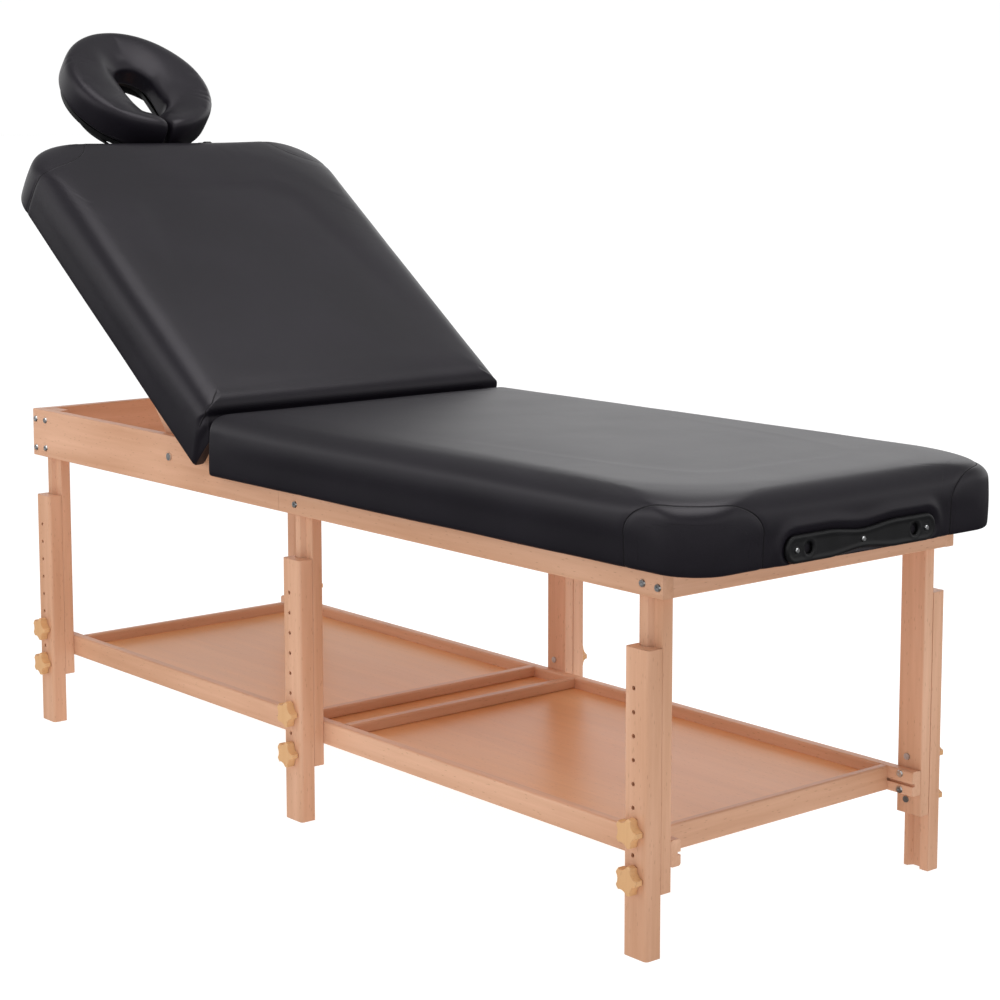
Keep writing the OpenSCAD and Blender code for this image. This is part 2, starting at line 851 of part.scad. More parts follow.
knob(-leg_pitch, -1, 2);  // knob_head_front_upper
knob(-leg_pitch, -1, 0);  // knob_head_front_lower
knob(-leg_pitch, 1, 2);  // knob_head_rear_upper
knob(-leg_pitch, 1, 0);  // knob_head_rear_lower
knob(0, -1, 2);  // knob_middle_front_upper
knob(0, -1, 0);  // knob_middle_front_lower
knob(0, 1, 2);  // knob_middle_rear_upper
knob(0, 1, 0);  // knob_middle_rear_lower
knob(leg_pitch, -1, 2);  // knob_foot_front_upper
knob(leg_pitch, -1, 0);  // knob_foot_front_lower
knob(leg_pitch, 1, 2);  // knob_foot_rear_upper
knob(leg_pitch, 1, 0);  // knob_foot_rear_lower
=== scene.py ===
import json
import math
import bmesh
import bpy
import numpy as np
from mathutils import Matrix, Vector, noise
from mathutils.bvhtree import BVHTree
from mathutils.kdtree import KDTree


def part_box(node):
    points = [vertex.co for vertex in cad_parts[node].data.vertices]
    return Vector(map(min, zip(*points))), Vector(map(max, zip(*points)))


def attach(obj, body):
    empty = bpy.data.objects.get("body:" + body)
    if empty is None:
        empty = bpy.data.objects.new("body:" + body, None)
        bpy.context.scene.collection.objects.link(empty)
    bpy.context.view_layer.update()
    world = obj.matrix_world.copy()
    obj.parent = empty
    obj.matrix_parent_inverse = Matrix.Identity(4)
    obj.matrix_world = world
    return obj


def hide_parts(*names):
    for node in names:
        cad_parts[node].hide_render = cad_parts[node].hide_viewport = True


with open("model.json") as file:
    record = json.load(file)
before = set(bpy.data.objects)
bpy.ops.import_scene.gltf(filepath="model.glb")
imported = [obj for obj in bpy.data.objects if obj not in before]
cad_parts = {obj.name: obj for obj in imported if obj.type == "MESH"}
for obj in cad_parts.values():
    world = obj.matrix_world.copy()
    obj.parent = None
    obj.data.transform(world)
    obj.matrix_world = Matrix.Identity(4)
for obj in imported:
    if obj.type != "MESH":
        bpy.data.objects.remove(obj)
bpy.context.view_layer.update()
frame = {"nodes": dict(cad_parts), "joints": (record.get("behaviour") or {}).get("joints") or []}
joints = {j["name"]: j for j in frame["joints"]}
scene = bpy.context.scene
scene.view_settings.view_transform = "Standard"

# ---- Where things are ------------------------------------------------------
MID = (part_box("end_rail_head")[0].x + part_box("end_rail_foot")[1].x) / 2
HINGE = Vector(joints["back_hinge"]["pos_m"])
UP = Vector(joints["headrest_slide"]["axis"]).normalized()
OUT = Vector((UP.z, 0, -UP.x))
PIVOT = Vector(joints["headrest_tilt"]["pos_m"])
SEAT_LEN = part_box("seat_cushion")[1].x - HINGE.x
SEAT_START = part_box("seat_cushion")[0].x - HINGE.x
BACK_LEN = 0.837
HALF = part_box("seat_cushion")[1].y
TILT = math.radians(3)
RING_UP = UP * math.cos(TILT) + OUT * math.sin(TILT)
RING_OUT = OUT * math.cos(TILT) - UP * math.sin(TILT)
RING_FAR, RING_LIFT, RING_T = 0.116, 0.0203, 0.080
RING_R, FACE_R, FACE_LEN = 0.161, 0.042, 0.066
PLATE_LO, PLATE_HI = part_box("seat_socket_plate")
PLATE_T = PLATE_HI.x - PLATE_LO.x
PLATE_W = (PLATE_LO.z + PLATE_HI.z) / 2 - HINGE.z
PLATE_GAP = PLATE_LO.x - HINGE.x - SEAT_LEN
LOBE_R = (PLATE_HI.z - PLATE_LO.z) / 2
LOBE_AT = (PLATE_HI.y - PLATE_LO.y) / 2 - LOBE_R
WAIST, WAIST_LEN = 0.0145, 0.075
MOUTH_AT, MOUTH_R = 0.117, 0.0091
PLATE_SCREWS = (-0.143, 0.0, 0.143)


def seat_place(p):
    """Seat axes: u from the hinge line to the foot, v across, w up."""
    return HINGE + Vector(p)


def back_place(p):
    """Backrest axes: u up the board, v across, w out of its padded face."""
    return HINGE + UP * p[0] + Vector((0, p[1], 0)) + OUT * p[2]


def ring_place(p):
    """Face ring axes, from the middle of its lower face."""
    return PIVOT + RING_UP * (RING_FAR + p[0]) + Vector((0, p[1], 0)) + RING_OUT * (RING_LIFT + p[2])


# ---- Materials -------------------------------------------------------------
class Mat:
    """A small helper that builds a node material."""

    def __init__(self, name):
        self.material = bpy.data.materials.new(name)
        self.material.use_nodes = True
        self.tree = self.material.node_tree
        self.shader = self.tree.nodes["Principled BSDF"]

    def node(self, kind, **settings):
        made = self.tree.nodes.new(kind)
        for key, value in settings.items():
            setattr(made, key, value)
        return made

    def link(self, source, target):
        self.tree.links.new(source, target)

    def feed(self, socket, source):
        """Links a texture to one of the shader's own sockets."""
        self.link(source, self.shader.inputs[socket])

    def set(self, **settings):
        """Sets the shader's own sockets, with _ for each space in their names."""
        for key, value in settings.items():
            self.shader.inputs[key.replace("_", " ")].default_value = value

    def coords(self, scale=(1, 1, 1), rotate=(0, 0, 0)):
        source = self.node("ShaderNodeTexCoord")
        mapping = self.node("ShaderNodeMapping")
        mapping.inputs["Scale"].default_value = scale
        mapping.inputs["Rotation"].default_value = rotate
        self.link(source.outputs["Object"], mapping.inputs["Vector"])
        return mapping.outputs["Vector"]

    def noise(self, vector, scale, detail=4.0, rough=0.55, distort=0.0):
        made = self.node("ShaderNodeTexNoise")
        made.inputs["Scale"].default_value = scale
        made.inputs["Detail"].default_value = detail
        made.inputs["Roughness"].default_value = rough
        made.inputs["Distortion"].default_value = distort
        self.link(vector, made.inputs["Vector"])
        return made.outputs["Fac"]

    def ramp(self, factor, stops):
        """A colour ramp; a stop's colour has three values, or one for grey."""
        made = self.node("ShaderNodeValToRGB")
        elements = made.color_ramp.elements
        while len(elements) < len(stops):
            elements.new(0.5)
        for element, (position, color) in zip(elements, stops):
            element.position = position
            element.color = (*color, 1) if len(color) == 3 else (*color * 3, 1)
        self.link(factor, made.inputs["Fac"])
        return made.outputs["Color"]

    def mix(self, first, second, factor):
        """Mixes two colours; a colour mix node has them at sockets 6 and 7, and its factor at 0."""
        made = self.node("ShaderNodeMix", data_type="RGBA")
        for index, value in ((6, first), (7, second), (0, factor)):
            if hasattr(value, "links"):
                self.link(value, made.inputs[index])
            else:
                made.inputs[index].default_value = (*value, 1) if isinstance(value, tuple) else value
        return made.outputs[2]

    def math(self, operation, first, second=0.0, clamp=False):
        made = self.node("ShaderNodeMath", operation=operation, use_clamp=clamp)
        for index, value in enumerate((first, second)):
            if hasattr(value, "links"):
                self.link(value, made.inputs[index])
            else:
                made.inputs[index].default_value = value
        return made.outputs[0]

    def bump(self, height, strength, distance, normal=None):
        made = self.node("ShaderNodeBump")
        made.inputs["Strength"].default_value = strength
        made.inputs["Distance"].default_value = distance
        self.link(height, made.inputs["Height"])
        if normal is not None:
            self.link(normal, made.inputs["Normal"])
        return made.outputs["Normal"]

    def round_edges(self, radius):
        made = self.node("ShaderNodeBevel", samples=4)
        made.inputs["Radius"].default_value = radius
        return made.outputs["Normal"]


def wood(name, along, light, dark, rough=0.42, figure=1.0, rotate=(0, 0, 0)):
    """Varnished wood with its grain along one axis: long streaks, short dark flecks, fine pores."""
    m = Mat(name)
    axis = "xyz".index(along)
    long_scale = tuple(0.045 if k == axis else 1.0 for k in range(3))
    fleck_scale = tuple(1.6 if k == axis else 9.0 for k in range(3))
    grain = m.coords(long_scale, rotate)
    streak = m.noise(grain, 75.0, 6.0, 0.65, 0.35)
    broad = m.noise(grain, 11.0, 3.0, 0.5, 0.8)
    board = m.noise(m.coords(), 2.3, 1.0, 0.5)
    fleck = m.node("ShaderNodeTexVoronoi", feature="F1")
    fleck.inputs["Scale"].default_value = 26.0
    m.link(m.coords(fleck_scale, rotate), fleck.inputs["Vector"])
    flecks = m.ramp(fleck.outputs["Distance"], [(0.10, (1,)), (0.17, (0,))])
    mid = tuple((a + b) / 2 for a, b in zip(light, dark))
    color = m.ramp(streak, [(0.30, dark), (0.52, mid), (0.72, light)])
    color = m.mix(color, m.ramp(broad, [(0.35, dark), (0.65, light)]), 0.5 * figure)
    color = m.mix(color, m.ramp(board, [(0.35, dark), (0.65, light)]), 0.30)
    fleck_color = tuple(c * 0.74 for c in dark)
    color = m.mix(color, fleck_color, m.math("MULTIPLY", flecks, 0.55))
    m.feed("Base Color", color)
    m.feed("Roughness", m.math("ADD", m.math("MULTIPLY", streak, 0.16), rough - 0.08))
    m.feed("Normal", m.bump(streak, 0.10, 0.0006, m.round_edges(0.0012)))
    m.set(Specular_IOR_Level=0.45, Coat_Weight=0.12, Coat_Roughness=0.28)
    return m.material


def vinyl(name, seam=False):
    """Black soft vinyl: leather grain, slow wrinkles, and sewn seams read from a distance attribute."""
    m = Mat(name)
    place = m.coords()
    cell = m.node("ShaderNodeTexVoronoi", feature="DISTANCE_TO_EDGE")
    cell.inputs["Scale"].default_value = 620.0
    m.link(place, cell.inputs["Vector"])
    grain = m.ramp(cell.outputs["Distance"], [(0.0, (0.25,)), (0.22, (1,))])
    cloud = m.noise(place, 5.0, 3.0, 0.5)
    pores = m.noise(place, 900.0, 2.0, 0.5)
    color = m.ramp(cloud, [(0.30, (0.0066, 0.0052, 0.0088)), (0.70, (0.0100, 0.0080, 0.0132))])
    color = m.mix((0.0045, 0.0045, 0.0052), color, grain)
    rough = m.math("ADD", m.math("MULTIPLY", cloud, 0.07), 0.36)
    normal = m.bump(grain, 0.10, 0.0003)
    normal = m.bump(pores, 0.05, 0.0002, normal)
    normal = m.bump(m.noise(place, 26.0, 3.0, 0.5), 0.06, 0.004, normal)
    if seam:
        distance = m.node("ShaderNodeAttribute", attribute_name="seam").outputs["Fac"]
        near = m.math("MULTIPLY", m.math("ABSOLUTE", distance), 100.0, clamp=True)
        groove = m.ramp(near, [(0.0, (0,)), (0.05, (0.2,)), (0.18, (1,))])
        normal = m.bump(groove, 0.6, 0.0012, normal)
        line = m.ramp(near, [(0.06, (1,)), (0.11, (0,))])
        color = m.mix(color, (0.0015, 0.0015, 0.0018), line)
        rough = m.math("ADD", rough, m.math("MULTIPLY", line, 0.4))
    m.feed("Base Color", color)
    m.feed("Roughness", rough)
    m.feed("Normal", normal)
    m.set(Specular_IOR_Level=0.35, Specular_Tint=(0.99, 0.94, 1.0, 1))
    return m.material


def mottled(name, dark, light, slow_scale, spread, rough, fine_scale, fine_detail, bumps, edge):
    """A plain material with a slow change of tone and roughness, fine bumps and rounded edges."""
    m = Mat(name)
    place = m.coords()
    fine = m.noise(place, fine_scale, fine_detail, 0.6)
    slow = m.noise(place, slow_scale, 2.0, 0.5)
    m.feed("Base Color", m.ramp(slow, [(0.3, dark), (0.7, light)]))
    m.feed("Roughness", m.math("ADD", m.math("MULTIPLY", slow, spread), rough))
    m.feed("Normal", m.bump(fine, *bumps, m.round_edges(edge)))
    return m


def plastic(name):
    m = mottled(name, (0.0045, 0.0045, 0.005), (0.007, 0.007, 0.008), 30.0, 0.12, 0.38,
                1500.0, 2.0, (0.12, 0.0002), 0.0012)
    m.set(Specular_IOR_Level=0.35)
    return m.material


def metal(name, tone, rough):
    m = mottled(name, tuple(t * 0.82 for t in tone), tone, 120.0, 0.14, rough,
                900.0, 3.0, (0.10, 0.0001), 0.0004)
    m.set(Metallic=1.0)
    return m.material


BEECH_L, BEECH_D = (0.80, 0.475, 0.315), (0.52, 0.255, 0.135)
PLY_L, PLY_D = (0.88, 0.490, 0.245), (0.72, 0.355, 0.150)
KNOB_L, KNOB_D = (0.78, 0.475, 0.235), (0.63, 0.335, 0.145)
RAISED = (0, -math.atan2(UP.z, -UP.x), 0)
beech = {a: wood("beech_" + a, a, BEECH_L, BEECH_D) for a in "xyz"}
beech["back"] = wood("beech_back", "x", BEECH_L, BEECH_D, rotate=RAISED)
ply = wood("ply_floor", "x", PLY_L, PLY_D, rough=0.34, figure=0.7)
ply_back = wood("ply_board", "x", PLY_L, PLY_D, rough=0.5, figure=0.9, rotate=RAISED)
knob_wood = wood("knob_wood", "z", KNOB_L, KNOB_D, rough=0.36)
vinyl_plain = vinyl("vinyl")
vinyl_sewn = vinyl("vinyl_sewn", seam=True)
black = plastic("black_plastic")
steel = metal("steel", (0.78, 0.79, 0.80), 0.26)
zinc = metal("zinc", (0.62, 0.62, 0.63), 0.36)

GRAIN = {
    "x": ("side_rail", "rail_splices", "tray_sides", "seat_aprons"),
    "y": ("end_rail", "hinge_rail", "tray_ends"),
    "z": ("upper_legs", "lower_leg"),
    "back": ("back_aprons", "back_racks", "prop_arms"),
}
OTHERS = (
    (("knob",), knob_wood),
    (("tray_floor", "seat_board"), ply),
    (("back_board",), ply_back),
    (("frame_screws", "back_screws", "hinge_pins", "prop_bar", "headrest_rods", "headrest_axle"), steel),
    (("clamp_bolts", "seat_hinge_leaves", "back_hinge_leaves"), zinc),
)
choices = [(starts, beech[along]) for along, starts in GRAIN.items()] + list(OTHERS)
for name, obj in frame["nodes"].items():
    chosen = [material for starts, material in choices if name.startswith(starts)]
    obj.data.materials.clear()
    obj.data.materials.append(chosen[0] if chosen else black)


# ---- Cushions --------------------------------------------------------------
# Points along a side, across an end and round a corner
NX, NY, NC = 124, 66, 12
# Height of the padded face, inset and drop of its rolled edge, and extra height in the middle
TOP = {"seat": 0.0590, "back": 0.0695}
ROUND = {"seat": 0.034, "back": 0.046}
DROP = {"seat": 0.0335, "back": 0.044}
CROWN = {"seat": 0.0030, "back": 0.0010}
# The seat's hinge end leans back, and stands off the backrest
LEAN, SEAT_GAP = 0.005, 0.002
# The backrest's hinge end is cut back: inset, roll and drop of its edge, then run, top and fall of the cut
CUT_IN, CUT_ROLL, CUT_DROP = 0.034, 0.028, 0.027
CUT_RUN, CUT_TOP, CUT_FALL = 0.031, 0.0425, 0.0355
# Top and foot of the straight side, and how far it bows out
SIDE_TOP, SIDE_LOW, BOW = 0.0255, -0.046, 0.0012
# Start and radius of the hem's turn, and the height of its inner face
HEM_W, HEM_R, HEM_IN = -0.0466, 0.006, -0.0514
# Insets of the vinyl's cut edge and of the pad's inside above it, at the sides and at the far end
FOLD_SIDE, FOLD_FAR = 0.0232, 0.0560
APRON_SIDE, APRON_FAR, APRON_W = 0.0108, 0.0248, -0.0200
# Heights of the board's two faces inside the pad
BOARD_LOW, BOARD_TOP = 0.0066, 0.0124


def smooth(t):
    t = min(1.0, max(0.0, t))
    return t * t * (3 - 2 * t)


def loop_points(lo, hi, half, ra, rb):
    """One ring round a pad, seen from above: (u, v, kind, share).

    The kind is -1 at the hinge end, 0 on a side and 1 at the far end. The share grows from 0 where
    an end's corner leaves the side to 1 where it reaches the end.
    """
    out = []

    def line(start, end, count, kind):
        for i in range(count):
            t = i / count
            u = start[0] + (end[0] - start[0]) * t
            v = start[1] + (end[1] - start[1]) * t
            out.append((u, v, kind, float(abs(kind))))

    def arc(center, radius, first, last, kind):
        for i in range(NC):
            a = math.radians(first + (last - first) * i / NC)
            share = math.degrees(math.asin(min(1, abs(math.cos(a))))) / 90
            out.append((center[0] + radius * math.cos(a), center[1] + radius * math.sin(a), kind, share))

    line((lo + ra, -half), (hi - rb, -half), NX, 0)
    arc((hi - rb, -half + rb), rb, -90, 0, 1)
    line((hi, -half + rb), (hi, half - rb), NY, 1)
    arc((hi - rb, half - rb), rb, 0, 90, 1)
    line((hi - rb, half), (lo + ra, half), NX, 0)
    arc((lo + ra, half - ra), ra, 90, 180, -1)
    line((lo, half - ra), (lo, -half + ra), NY, -1)
    arc((lo + ra, -half + ra), ra, 180, 270, -1)
    return out


def grid_fill(bm, ring, height, up):
    """Fills a ring of vertices with an even grid of quads, crowned by a height."""
    gx, gy = NX + NC, NY + NC
    n = len(ring)
    turned = [ring[(k - NC // 2) % n] for k in range(n)]
    g = [[None] * (gy + 1) for _ in range(gx + 1)]
    for i in range(gx + 1):
        g[i][0] = turned[i]
        g[i][gy] = turned[(2 * gx + gy - i) % n]
    for j in range(gy + 1):
        g[gx][j] = turned[gx + j]
        g[0][j] = turned[(2 * gx + 2 * gy - j) % n]
    for i in range(1, gx):
        for j in range(1, gy):
            s, t = i / gx, j / gy
            p = (g[0][j].co * (1 - s) + g[gx][j].co * s + g[i][0].co * (1 - t) + g[i][gy].co * t
                 - g[0][0].co * (1 - s) * (1 - t) - g[gx][0].co * s * (1 - t)
                 - g[0][gy].co * (1 - s) * t - g[gx][gy].co * s * t)
            p.z += height * (1 - (2 * s - 1) ** 4) * (1 - (2 * t - 1) ** 4)
            g[i][j] = bm.verts.new(p)
    for i in range(gx):
        for j in range(gy):
            f = [g[i][j], g[i + 1][j], g[i + 1][j + 1], g[i][j + 1]]
            bm.faces.new(f if up else f[::-1])


def pad_profile(pad):
    """Rings from the top edge out, down, under the hem and up inside.

    Each ring is three (inset, height) pairs: for the sides, the hinge end and the far end.
    """
    seat = pad == "seat"
    top, drop, inset = TOP[pad], DROP[pad], ROUND[pad]
    rows = []
    # The top edge, rolled over a quarter turn
    for k in range(10):
        a = math.radians(90 * k / 9)
        s, c = 1 - math.sin(a), 1 - math.cos(a)
        side = (inset * s, top - drop * c)
        if seat:
            end = (LEAN + (inset - LEAN) * s, top - drop * c)
        else:
            end = (CUT_IN + CUT_ROLL * s, top - CUT_DROP * c)
        rows.append((side, end, side))
    # The side, which bows out a little on its way down
    for k in range(1, 8):
        t = k / 8
        side = (-BOW * math.sin(math.pi * t), SIDE_TOP + (SIDE_LOW - SIDE_TOP) * t)
        if seat:
            end = (LEAN * (1 - t), SIDE_TOP - 0.0160 * t)
        else:
            q = 1.1 * t
            end = (CUT_IN - CUT_RUN * q ** 0.7, CUT_TOP - CUT_FALL * q)
        rows.append((side, end, side))
    # The hem, turned under
    for k, degrees in enumerate((10, 40, 70, 90)):
        a = math.radians(degrees)
        side = (HEM_R * (1 - math.cos(a)), HEM_W - HEM_R * math.sin(a))
        if seat:
            end = (0.0004 + 0.0004 * k, 0.0100 - 0.0009 * k)
        else:
            end = (0.0037 + 0.0004 * k, 0.0078 - 0.0003 * k)
        rows.append((side, end, side))
    # The vinyl's edge under the aprons, then the aprons' inner faces up to the board
    hem, ease = HEM_W - HEM_R, 0.0002
    low = HEM_IN + ease
    steps = (0.0024, 0.0034, 0.0046, 0.0059) if seat else (0.0062, 0.0080, 0.0100, 0.0108)
    rows.append(((FOLD_SIDE, hem), (steps[0], BOARD_LOW), (FOLD_FAR, hem)))
    rows.append(((FOLD_SIDE, HEM_IN), (steps[1], BOARD_LOW), (FOLD_FAR, HEM_IN)))
    rows.append(((APRON_SIDE + ease, low), (steps[2], BOARD_LOW), (APRON_FAR + ease, low)))
    rows.append(((APRON_SIDE, APRON_W), (steps[3], BOARD_LOW), (APRON_FAR, APRON_W)))
    rows.append(((APRON_SIDE, BOARD_TOP), (steps[3], BOARD_TOP), (APRON_FAR, BOARD_TOP)))
    return rows


def build_pad(pad, lo, hi, ra, rb, grow):
    """An upholstered pad in its own axes, closed, with a hem wrapped round its aprons.

    The corner radius is ra at the hinge end and rb at the far end, where it grows towards the top.
    """
    bm = bmesh.new()
    rings = []
    for side, end, far in pad_profile(pad):
        inset, height = side
        above = height > 0.02
        wide = rb + grow * max(0.0, inset) / ROUND[pad] if above else max(rb - inset, 0.03)
        near = max(ra - min(inset, end[0]), 0.006)
        ring = []
        for u, v, kind, share in loop_points(lo + end[0], hi - far[0], HALF - inset, near, wide):
            w = height
            if kind < 0:
                t = smooth(share) if end[1] > 0.03 or above else smooth((share - 0.5) / 0.5)
                w = height * (1 - t) + end[1] * t
            elif kind > 0:
                w = height * (1 - share) + far[1] * share
            ring.append(bm.verts.new((u, v, w)))
        rings.append(ring)
    n = len(rings[0])
    for a, b in zip(rings, rings[1:]):
        for k in range(n):
            m = (k + 1) % n
            bm.faces.new((a[k], b[k], b[m], a[m]))
    grid_fill(bm, rings[0], CROWN[pad], True)
    grid_fill(bm, rings[-1], 0.0, False)
    bmesh.ops.recalc_face_normals(bm, faces=bm.faces[:])
    me = bpy.data.meshes.new(pad + "_pad")
    bm.to_mesh(me)
    bm.free()
    return me


def puff(obj, free, pressure, cap, steps):
    """Cloth under inner pressure: points with free 0 stay, the others move at most cap metres."""
    before = np.array([v.co for v in obj.data.vertices])
    group = obj.vertex_groups.new(name="held")
    for i, f in enumerate(free):
        group.add([i], float(1 - f), "REPLACE")
    scene.collection.objects.link(obj)
    mod = obj.modifiers.new("cloth", "CLOTH")
    cloth = mod.settings
    cloth.quality = 4
    cloth.mass = 0.4
    cloth.tension_stiffness = cloth.compression_stiffness = 25
    cloth.shear_stiffness = 12
    cloth.bending_stiffness = 6
    cloth.use_pressure = True
    cloth.uniform_pressure_force = pressure
    cloth.vertex_group_mass = "held"
    cloth.pin_stiffness = 30
    cloth.effector_weights.gravity = 0.0
    mod.collision_settings.use_collision = False
    mod.point_cache.frame_start, mod.point_cache.frame_end = 1, steps
    for step in range(1, steps + 1):
        scene.frame_set(step)
    got = obj.evaluated_get(bpy.context.evaluated_depsgraph_get())
    after = np.array([v.co for v in got.data.vertices])
    obj.modifiers.clear()
    obj.vertex_groups.clear()
    scene.collection.objects.unlink(obj)
    scene.frame_set(1)
    move = after - before
    size = np.linalg.norm(move, axis=1)
    move *= np.minimum(1.0, cap / np.maximum(size, 1e-9))[:, None]
    set_points(obj.data, before + move * np.asarray(free)[:, None])


def subdivided(obj):
    """The object's mesh after one level of subdivision, as plain vertices."""
    scene.collection.objects.link(obj)
    mod = obj.modifiers.new("sub", "SUBSURF")
    mod.levels = mod.render_levels = 1
    dg = bpy.context.evaluated_depsgraph_get()
    dg.update()
    me = bpy.data.meshes.new_from_object(obj.evaluated_get(dg))
    obj.modifiers.clear()
    scene.collection.objects.unlink(obj)
    return me


def set_points(me, co):
    me.vertices.foreach_set("co", np.asarray(co).astype(np.float32).ravel())
    me.update()


def points_of(me):
    co = np.zeros(len(me.vertices) * 3, np.float32)
    me.vertices.foreach_get("co", co)
    return co.reshape(-1, 3).astype(float)


def normals_of(me):
    no = np.zeros(len(me.vertices) * 3, np.float32)
    me.vertex_normals.foreach_get("vector", no)
    return no.reshape(-1, 3).astype(float)


def bell(x, at, width):
    """A smooth hump: 1 at a place, and almost 0 two widths away from it."""
    return math.exp(-(((x - at) / width) ** 2))


SEAM_REACH, SEAM_DIP, SEAM_WIDTH = 0.03, 0.0009, 0.0045


def add_seams(me, lines):
    """Pulls the skin in along each line, and stores each point's signed distance to the nearest line."""
    spots = [(p, line, k) for line in lines for k, p in enumerate(line)]
    tree = KDTree(len(spots))
    for index, (p, _, _) in enumerate(spots):
        tree.insert(p, index)
    tree.balance()
    co, no = points_of(me), normals_of(me)
    dist = np.full(len(co), SEAM_REACH)
    for k, p in enumerate(co):
        near, index, far = tree.find(Vector(p))
        if far > SEAM_REACH:
            continue
        _, line, at = spots[index]
        run = line[min(at + 1, len(line) - 1)] - line[max(at - 1, 0)]
        side = Vector(no[k]).cross(run).normalized().dot(Vector(p) - near)
        past = far if at in (0, len(line) - 1) else abs(side)
        dist[k] = math.copysign(max(past, abs(side)), side)
    set_points(me, co - no * (SEAM_DIP * np.exp(-((dist / SEAM_WIDTH) ** 2)))[:, None])
    stored = me.attributes.new("seam", "FLOAT", "POINT")
    stored.data.foreach_set("value", dist.astype(np.float32))
    me.update()


def finish(me, name, place, body, node, material):
    """Puts a mesh in its place as a smooth piece that rides on a body and replaces a CAD node."""
    set_points(me, [place(tuple(p)) for p in points_of(me)])
    for polygon in me.polygons:
        polygon.use_smooth = True
    me.materials.clear()
    me.materials.append(material)
    piece = bpy.data.objects.new(name, me)
    scene.collection.objects.link(piece)
    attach(piece, body)
    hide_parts(node)
    return piece


def outline_at(s, hi, half, r):
    """Point and outward direction on a pad's outline, s metres past the middle of its far front corner."""
    q = math.pi * r / 4
    if s < -q:
        return (hi - r + (s + q), -half), (0.0, -1.0)
    if s > q:
        return (hi, -half + r + (s - q)), (1.0, 0.0)
    a = math.radians(-45) + s / r
    return (hi - r + r * math.cos(a), -half + r + r * math.sin(a)), (math.cos(a), math.sin(a))


def snap(lines, me):
    """Moves each point of the lines to the nearest place on the mesh."""
    tree = BVHTree.FromPolygons([v.co for v in me.vertices], [tuple(p.vertices) for p in me.polygons])
    return [[tree.find_nearest(Vector(p))[0] for p in line] for line in lines]


def free_of(me, start, end):
    """1 on the skin that may swell, 0 on the hem, the inside and the hinge end."""
    held_below, rise, run = -0.045, 0.04, 0.05
    u, v, w = points_of(me).T
    free = np.clip((w - held_below) / rise, 0, 1)
    free[(w < 0.0130) & (np.abs(v) < HALF - 0.009) & (u < end - 0.02)] = 0
    return free * np.clip((u - start) / run, 0, 1)


def plate_half(v):
    """Half the height of a socket plate, v metres from its middle: a waist between two round lobes."""
    v = abs(v)
    if v > LOBE_AT:
        return math.sqrt(max(0.0, LOBE_R ** 2 - (v - LOBE_AT) ** 2))
    return WAIST + (LOBE_R - WAIST) * smooth(v / WAIST_LEN)


def plate_inside(v, w):
    """Depth inside a socket plate's outline, negative outside it."""
    lobe = LOBE_R - math.hypot(max(0.0, abs(v) - LOBE_AT), w)
    return lobe if abs(v) > LOBE_AT else plate_half(v) - abs(w)


def press_plate(me, far):
    """Flattens the skin under a socket plate and lets it bulge softly round the plate's edge."""
    ridge_high, ridge_at, ridge_wide, reach = 0.0034, 0.011, 0.009, 0.05
    co, no = points_of(me), normals_of(me)
    on_end = (co[:, 0] > far - 0.012) & (no[:, 0] > 0.4)
    for k in np.nonzero(on_end)[0]:
        out = -plate_inside(co[k, 1], co[k, 2] - PLATE_W)
        if out < 0.0:
            co[k, 0] = min(co[k, 0], far)
        elif out < reach:
            ridge = ridge_high * bell(out, ridge_at, ridge_wide)
            co[k, 0] = far + (co[k, 0] - far) * smooth(out / 0.012) + ridge * smooth(out / 0.006)
    set_points(me, co)


def slow_waves(me, size, height):
    """Very low, slow waves, as foam and vinyl have."""
    co, no = points_of(me), normals_of(me)
    wave = np.array([noise.noise(Vector(p) / size) for p in co])
    set_points(me, co + no * (wave * height)[:, None])


def seat_seams():
    """An arched patch over each far corner, with straight seams down from its feet to the hem."""
    reach, crest, round_r, hem = 0.124, 0.058, 0.045, -0.054
    lines = []
    for side in (-1, 1):
        arch = []
        for i in range(400):
            s = -reach + 2 * reach * i / 399
            w = crest * math.sqrt(max(0.0, 1 - abs(s / reach) ** 2))
            (u, v), (nu, nv) = outline_at(s, SEAT_LEN, HALF, R_FAR)
            inset = round_r - math.sqrt(max(0.0, round_r ** 2 - max(0.0, w - SIDE_TOP) ** 2))
            arch.append((u - nu * inset, (v - nv * inset) * -side, w))
        for s in (-reach, reach):
            (u, v), _ = outline_at(s, SEAT_LEN, HALF, R_FAR)
            down = [(u, v * -side, hem * i / 50) for i in range(1, 51)]
            arch = down[::-1] + arch if s < 0 else arch + down
        lines.append(arch)
    return lines


def back_seams():
    """A rounded patch over each far corner, and a short slanting seam at each hinge corner."""
    long, wide, squareness = 0.098, 0.128, 0.9
    face, edge, fall = 0.071, 0.045, 0.098
    slant_start, slant_long = 0.030, 0.034
    lines = []
    for side in (-1, 1):
        patch = []
        for i in range(300):
            a = math.radians(90 * i / 299)
            u = BACK_LEN - long * math.cos(a) ** squareness
            patch.append((u, side * (HALF - wide * math.sin(a) ** squareness), face))
        for i in range(60):
            w = edge - fall * i / 59
            patch.insert(0, (BACK_LEN - long, side * HALF, w))
            patch.append((BACK_LEN, side * (HALF - wide), w))
        slant = []
        for i in range(61):
            along = slant_long * i / 60
            w = 0.02 + 0.05 * min(1.0, i / 25)
            slant.append((slant_start + along, side * (HALF - 0.004 - along), w))
        lines += [patch, slant]
    return lines


